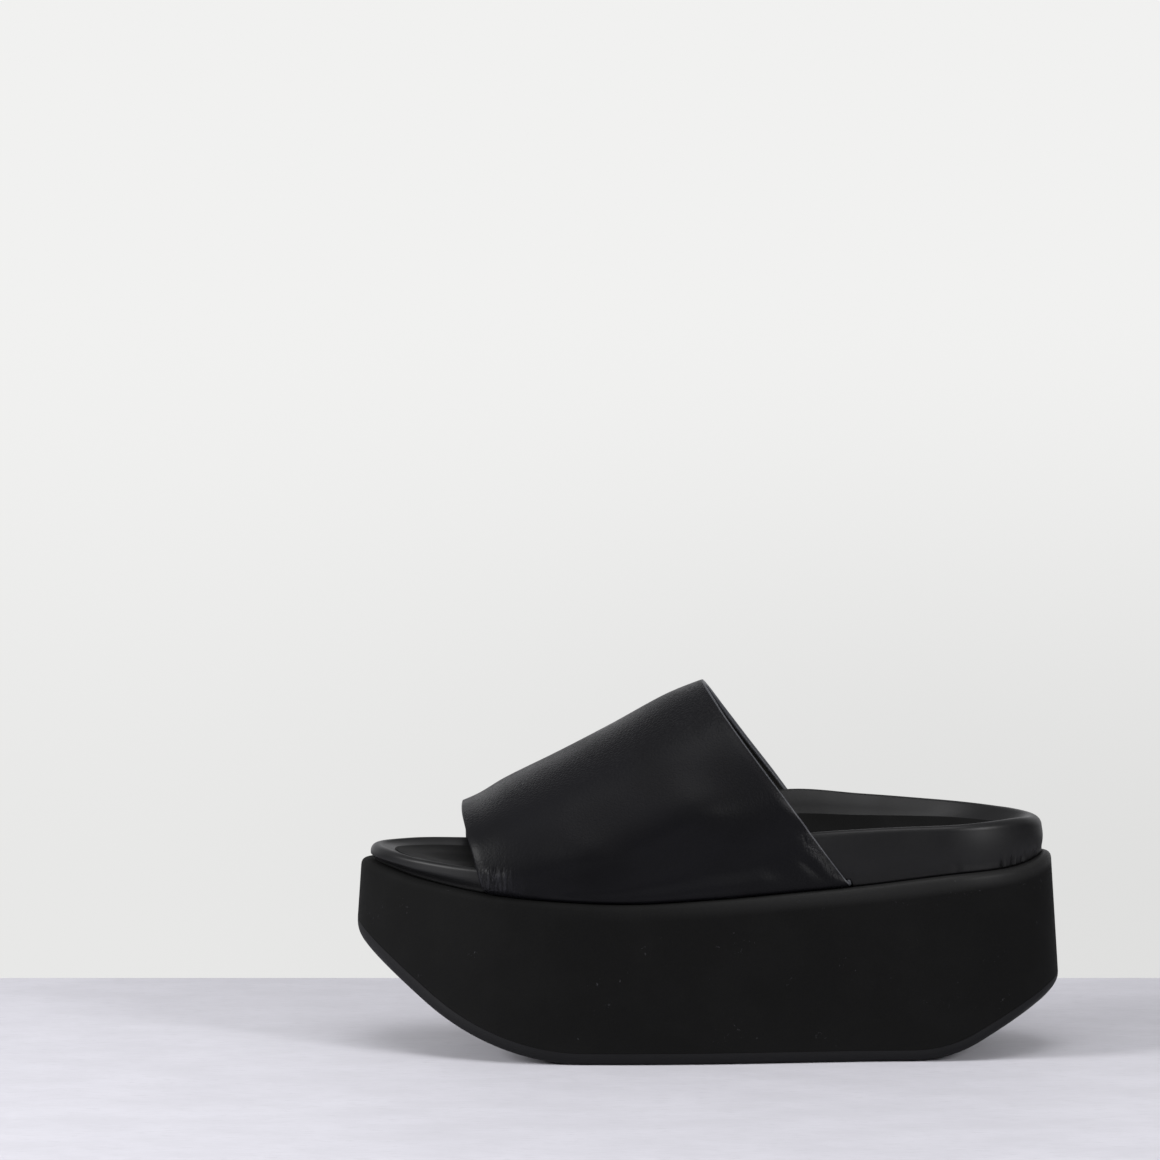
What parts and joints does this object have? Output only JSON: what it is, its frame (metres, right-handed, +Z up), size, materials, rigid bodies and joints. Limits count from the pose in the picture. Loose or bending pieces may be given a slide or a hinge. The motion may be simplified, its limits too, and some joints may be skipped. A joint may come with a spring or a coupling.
{
  "type": "mule",
  "caption": "Black open-toe platform mule for the left foot: one broad leather vamp over a leather-covered cup footbed on a thick rocker foam sole.",
  "frame": {"origin": "on the floor, under the middle of the whole shoe's box", "axes": "+X from toe to heel, +Y from the outer (lateral) to the inner (medial) side of the left foot, +Z up"},
  "size_m": [0.2676, 0.1052, 0.1396],
  "materials": {
    "outsole_rubber": "matte",
    "platform_foam": "matte, fine skin",
    "footbed_leather": "satin, smooth",
    "insole_leather": "matte",
    "upper_leather": "satin, fine pebbled grain"
  },
  "bodies": {
    "root": {"outsole": "outsole_rubber", "platform": "platform_foam", "footbed": "footbed_leather", "insole": "insole_leather", "upper": "upper_leather"}
  },
  "joints": []
}
